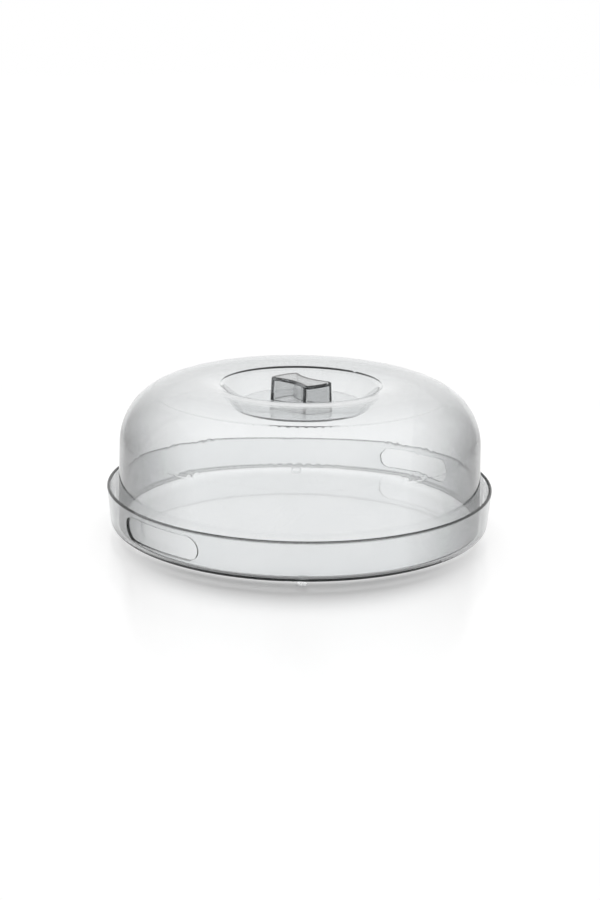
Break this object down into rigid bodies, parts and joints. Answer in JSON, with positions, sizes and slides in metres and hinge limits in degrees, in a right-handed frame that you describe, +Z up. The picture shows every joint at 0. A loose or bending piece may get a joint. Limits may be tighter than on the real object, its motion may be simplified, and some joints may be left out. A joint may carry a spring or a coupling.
{
  "type": "covered cake tray",
  "caption": "Round clear plastic cake tray with hand-hold slots in its low wall and a lift-off domed cover whose crown rolls down into a finger recess with an hourglass grip.",
  "frame": {"origin": "on the table plane, under the centre of the tray", "axes": "+Z up, X through the two hand-holds; the length of the grip lies 5 degrees off Y, as the cover is set down"},
  "size_m": [0.2998, 0.2998, 0.1165],
  "materials": {
    "clear_tray": "clear polished moulding",
    "clear_cover": "clear polished moulding",
    "clear_grip": "clear polished moulding, thicker and a little smokier",
    "clear_foot": "clear soft bumper"
  },
  "bodies": {
    "tray_body": {"tray": "clear_tray", "foot_back_right": "clear_foot", "foot_back_left": "clear_foot", "foot_front_left": "clear_foot", "foot_front_right": "clear_foot"},
    "cover_body": {"cover": "clear_cover", "grip": "clear_grip"}
  },
  "joints": [
    {"name": "cover_lift", "type": "slide", "parent": "tray_body", "child": "cover_body", "axis": [0, 0, 1], "range_m": [0, 0.15]}
  ]
}
